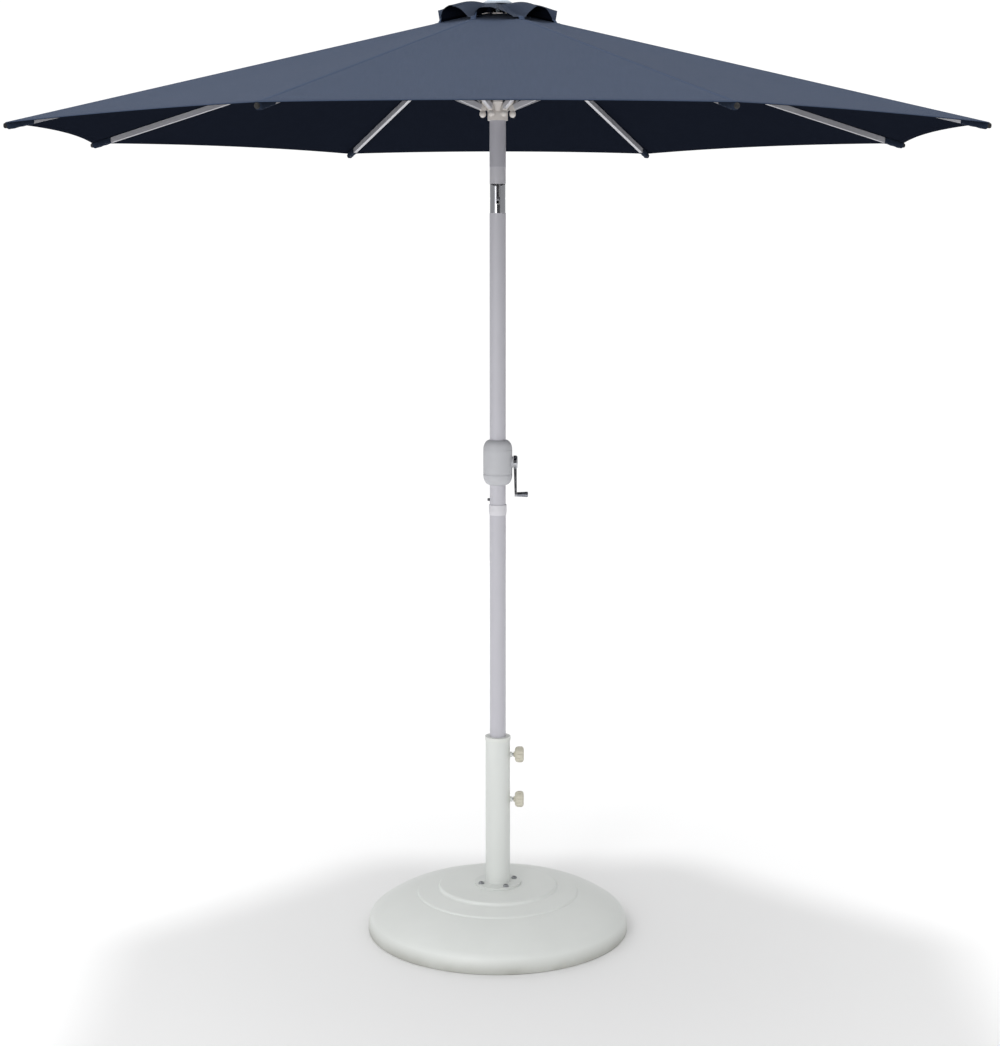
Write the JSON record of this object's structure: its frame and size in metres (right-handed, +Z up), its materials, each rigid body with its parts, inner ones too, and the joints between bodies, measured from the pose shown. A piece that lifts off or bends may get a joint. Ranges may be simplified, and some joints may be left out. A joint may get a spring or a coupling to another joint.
{
  "type": "patio umbrella with base",
  "caption": "Free-standing octagonal market umbrella with a vented cloth canopy, crank lift, tilting upper mast and a round weighted base with clamp knobs.",
  "frame": {"origin": "on the floor, on the mast's axis, under the middle of the object", "axes": "+Z up along the mast; the crank and clamp knobs are on +X; the front is -Y"},
  "size_m": [2.3096, 2.3096, 2.493],
  "materials": {
    "shell_resin": "satin",
    "concrete": "matte",
    "rubber": "matte",
    "tube_paint": "satin",
    "zinc_steel": "satin",
    "collar_plastic": "satin",
    "knob_plastic": "satin",
    "pole_paint": "satin",
    "upper_pole_paint": "satin",
    "housing_plastic": "satin",
    "chrome": "polished",
    "button_steel": "satin",
    "grip_plastic": "satin",
    "nylon": "satin",
    "rib_metal": "satin",
    "finial_plastic": "satin",
    "canopy_cloth": "matte"
  },
  "bodies": {
    "base": {"base_shell": "shell_resin", "base_weight": "concrete", "base_feet": "rubber", "base_tube": "tube_paint", "flange_bolts": "zinc_steel", "tube_collar": "collar_plastic", "tube_bush": "collar_plastic"},
    "upper_clamp_stud": {"upper_clamp_stud": "zinc_steel"},
    "upper_clamp_knob": {"upper_clamp_knob": "knob_plastic"},
    "lower_clamp_stud": {"lower_clamp_stud": "zinc_steel"},
    "lower_clamp_knob": {"lower_clamp_knob": "knob_plastic"},
    "mast": {"lower_pole": "pole_paint", "pole_collar": "housing_plastic", "button_spring": "zinc_steel", "main_pole": "pole_paint", "crank_housing_front": "housing_plastic", "crank_housing_rear": "housing_plastic", "housing_screws": "zinc_steel", "tilt_lower_knuckle": "chrome", "tilt_pin": "zinc_steel"},
    "snap_button": {"snap_button": "button_steel"},
    "crank": {"cord_spool": "nylon", "crank_arm": "chrome"},
    "crank_grip": {"crank_grip": "grip_plastic"},
    "upper_mast": {"tilt_upper_knuckle": "pole_paint", "upper_pole": "upper_pole_paint", "pulley_axle": "zinc_steel", "crown_hub": "nylon", "crown_pins": "zinc_steel", "finial": "finial_plastic", "vent_cap": "canopy_cloth"},
    "pulley": {"cord_pulley": "nylon"},
    "runner": {"runner": "nylon"},
    "rib_1": {"rib_1": "rib_metal", "canopy_panel_1": "canopy_cloth"},
    "stretcher_1": {"stretcher_1": "rib_metal"},
    "rib_2": {"rib_2": "rib_metal", "canopy_panel_2": "canopy_cloth"},
    "stretcher_2": {"stretcher_2": "rib_metal"},
    "rib_3": {"rib_3": "rib_metal", "canopy_panel_3": "canopy_cloth"},
    "stretcher_3": {"stretcher_3": "rib_metal"},
    "rib_4": {"rib_4": "rib_metal", "canopy_panel_4": "canopy_cloth"},
    "stretcher_4": {"stretcher_4": "rib_metal"},
    "rib_5": {"rib_5": "rib_metal", "canopy_panel_5": "canopy_cloth"},
    "stretcher_5": {"stretcher_5": "rib_metal"},
    "rib_6": {"rib_6": "rib_metal", "canopy_panel_6": "canopy_cloth"},
    "stretcher_6": {"stretcher_6": "rib_metal"},
    "rib_7": {"rib_7": "rib_metal", "canopy_panel_7": "canopy_cloth"},
    "stretcher_7": {"stretcher_7": "rib_metal"},
    "rib_8": {"rib_8": "rib_metal", "canopy_panel_8": "canopy_cloth"},
    "stretcher_8": {"stretcher_8": "rib_metal"}
  },
  "joints": [
    {"name": "mast_swivel", "type": "hinge", "parent": "base", "child": "mast", "pos_m": [0, 0, 0.4], "axis": [0, 0, 1], "continuous": true},
    {"name": "runner_slide", "type": "slide", "parent": "upper_mast", "child": "runner", "axis": [0, 0, 1], "range_m": [-0.47325, 0], "deforming": ["canopy_panel_1", "canopy_panel_2", "canopy_panel_3", "canopy_panel_4", "canopy_panel_5", "canopy_panel_6", "canopy_panel_7", "canopy_panel_8", "vent_cap"]},
    {"name": "canopy_tilt", "type": "hinge", "parent": "mast", "child": "upper_mast", "pos_m": [0, 0, 1.985], "axis": [-1, 0, 0], "range_deg": [0, 35]},
    {"name": "snap_button_press", "type": "slide", "parent": "mast", "child": "snap_button", "axis": [1, 0, 0], "range_m": [0, 0.006], "stiffness_N_per_m": 800, "springref_m": -0.004, "deforming": ["button_spring"]},
    {"name": "crank_turn", "type": "hinge", "parent": "mast", "child": "crank", "pos_m": [0, 0, 1.292], "axis": [1, 0, 0], "range_deg": [-3245, 5]},
    {"name": "crank_grip_spin", "type": "hinge", "parent": "crank", "child": "crank_grip", "pos_m": [0.066, 0, 1.205], "axis": [1, 0, 0], "continuous": true},
    {"name": "pulley_turn", "type": "hinge", "parent": "upper_mast", "child": "pulley", "pos_m": [0.0125, 0, 2.405], "axis": [0, -1, 0], "range_deg": [-3195.05, 5]},
    {"name": "upper_stud_feed", "type": "slide", "parent": "base", "child": "upper_clamp_stud", "axis": [1, 0, 0], "range_m": [-0.0001, 0.0051]},
    {"name": "upper_knob_turn", "type": "hinge", "parent": "upper_clamp_stud", "child": "upper_clamp_knob", "pos_m": [0.057, 0, 0.489], "axis": [1, 0, 0], "range_deg": [0, 1440]},
    {"name": "lower_stud_feed", "type": "slide", "parent": "base", "child": "lower_clamp_stud", "axis": [1, 0, 0], "range_m": [-0.0001, 0.0051]},
    {"name": "lower_knob_turn", "type": "hinge", "parent": "lower_clamp_stud", "child": "lower_clamp_knob", "pos_m": [0.057, 0, 0.363], "axis": [1, 0, 0], "range_deg": [0, 1440]},
    {"name": "rib_1_fold", "type": "hinge", "parent": "upper_mast", "child": "rib_1", "pos_m": [0.03141, 0.01301, 2.4435], "axis": [-0.3827, 0.9239, 0], "range_deg": [-1, 72.91]},
    {"name": "stretcher_1_fold", "type": "hinge", "parent": "rib_1", "child": "stretcher_1", "pos_m": [0.3411, 0.14129, 2.34132], "axis": [-0.3827, 0.9239, 0], "range_deg": [-142.12, 1]},
    {"name": "rib_2_fold", "type": "hinge", "parent": "upper_mast", "child": "rib_2", "pos_m": [0.01301, 0.03141, 2.4435], "axis": [-0.9239, 0.3827, 0], "range_deg": [-1, 72.91]},
    {"name": "stretcher_2_fold", "type": "hinge", "parent": "rib_2", "child": "stretcher_2", "pos_m": [0.14129, 0.3411, 2.34132], "axis": [-0.9239, 0.3827, 0], "range_deg": [-142.12, 1]},
    {"name": "rib_3_fold", "type": "hinge", "parent": "upper_mast", "child": "rib_3", "pos_m": [-0.01301, 0.03141, 2.4435], "axis": [-0.9239, -0.3827, 0], "range_deg": [-1, 72.91]},
    {"name": "stretcher_3_fold", "type": "hinge", "parent": "rib_3", "child": "stretcher_3", "pos_m": [-0.14129, 0.3411, 2.34132], "axis": [-0.9239, -0.3827, 0], "range_deg": [-142.12, 1]},
    {"name": "rib_4_fold", "type": "hinge", "parent": "upper_mast", "child": "rib_4", "pos_m": [-0.03141, 0.01301, 2.4435], "axis": [-0.3827, -0.9239, 0], "range_deg": [-1, 72.91]},
    {"name": "stretcher_4_fold", "type": "hinge", "parent": "rib_4", "child": "stretcher_4", "pos_m": [-0.3411, 0.14129, 2.34132], "axis": [-0.3827, -0.9239, 0], "range_deg": [-142.12, 1]},
    {"name": "rib_5_fold", "type": "hinge", "parent": "upper_mast", "child": "rib_5", "pos_m": [-0.03141, -0.01301, 2.4435], "axis": [0.3827, -0.9239, 0], "range_deg": [-1, 72.91]},
    {"name": "stretcher_5_fold", "type": "hinge", "parent": "rib_5", "child": "stretcher_5", "pos_m": [-0.3411, -0.14129, 2.34132], "axis": [0.3827, -0.9239, 0], "range_deg": [-142.12, 1]},
    {"name": "rib_6_fold", "type": "hinge", "parent": "upper_mast", "child": "rib_6", "pos_m": [-0.01301, -0.03141, 2.4435], "axis": [0.9239, -0.3827, 0], "range_deg": [-1, 72.91]},
    {"name": "stretcher_6_fold", "type": "hinge", "parent": "rib_6", "child": "stretcher_6", "pos_m": [-0.14129, -0.3411, 2.34132], "axis": [0.9239, -0.3827, 0], "range_deg": [-142.12, 1]},
    {"name": "rib_7_fold", "type": "hinge", "parent": "upper_mast", "child": "rib_7", "pos_m": [0.01301, -0.03141, 2.4435], "axis": [0.9239, 0.3827, 0], "range_deg": [-1, 72.91]},
    {"name": "stretcher_7_fold", "type": "hinge", "parent": "rib_7", "child": "stretcher_7", "pos_m": [0.14129, -0.3411, 2.34132], "axis": [0.9239, 0.3827, 0], "range_deg": [-142.12, 1]},
    {"name": "rib_8_fold", "type": "hinge", "parent": "upper_mast", "child": "rib_8", "pos_m": [0.03141, -0.01301, 2.4435], "axis": [0.3827, 0.9239, 0], "range_deg": [-1, 72.91]},
    {"name": "stretcher_8_fold", "type": "hinge", "parent": "rib_8", "child": "stretcher_8", "pos_m": [0.3411, -0.14129, 2.34132], "axis": [0.3827, 0.9239, 0], "range_deg": [-142.12, 1]}
  ],
  "couplings": [
    {"joint": "crank_turn", "follows": "runner_slide", "rad_per_m": 119.49},
    {"joint": "pulley_turn", "follows": "runner_slide", "rad_per_m": 117.65},
    {"joint": "upper_stud_feed", "follows": "upper_knob_turn", "m_per_rad": 0.00019894},
    {"joint": "lower_stud_feed", "follows": "lower_knob_turn", "m_per_rad": 0.00019894},
    {"joint": "rib_1_fold", "follows": "runner_slide", "rad_per_m": -2.652},
    {"joint": "stretcher_1_fold", "follows": "runner_slide", "rad_per_m": 5.2046},
    {"joint": "rib_2_fold", "follows": "runner_slide", "rad_per_m": -2.652},
    {"joint": "stretcher_2_fold", "follows": "runner_slide", "rad_per_m": 5.2046},
    {"joint": "rib_3_fold", "follows": "runner_slide", "rad_per_m": -2.652},
    {"joint": "stretcher_3_fold", "follows": "runner_slide", "rad_per_m": 5.2046},
    {"joint": "rib_4_fold", "follows": "runner_slide", "rad_per_m": -2.652},
    {"joint": "stretcher_4_fold", "follows": "runner_slide", "rad_per_m": 5.2046},
    {"joint": "rib_5_fold", "follows": "runner_slide", "rad_per_m": -2.652},
    {"joint": "stretcher_5_fold", "follows": "runner_slide", "rad_per_m": 5.2046},
    {"joint": "rib_6_fold", "follows": "runner_slide", "rad_per_m": -2.652},
    {"joint": "stretcher_6_fold", "follows": "runner_slide", "rad_per_m": 5.2046},
    {"joint": "rib_7_fold", "follows": "runner_slide", "rad_per_m": -2.652},
    {"joint": "stretcher_7_fold", "follows": "runner_slide", "rad_per_m": 5.2046},
    {"joint": "rib_8_fold", "follows": "runner_slide", "rad_per_m": -2.652},
    {"joint": "stretcher_8_fold", "follows": "runner_slide", "rad_per_m": 5.2046}
  ]
}
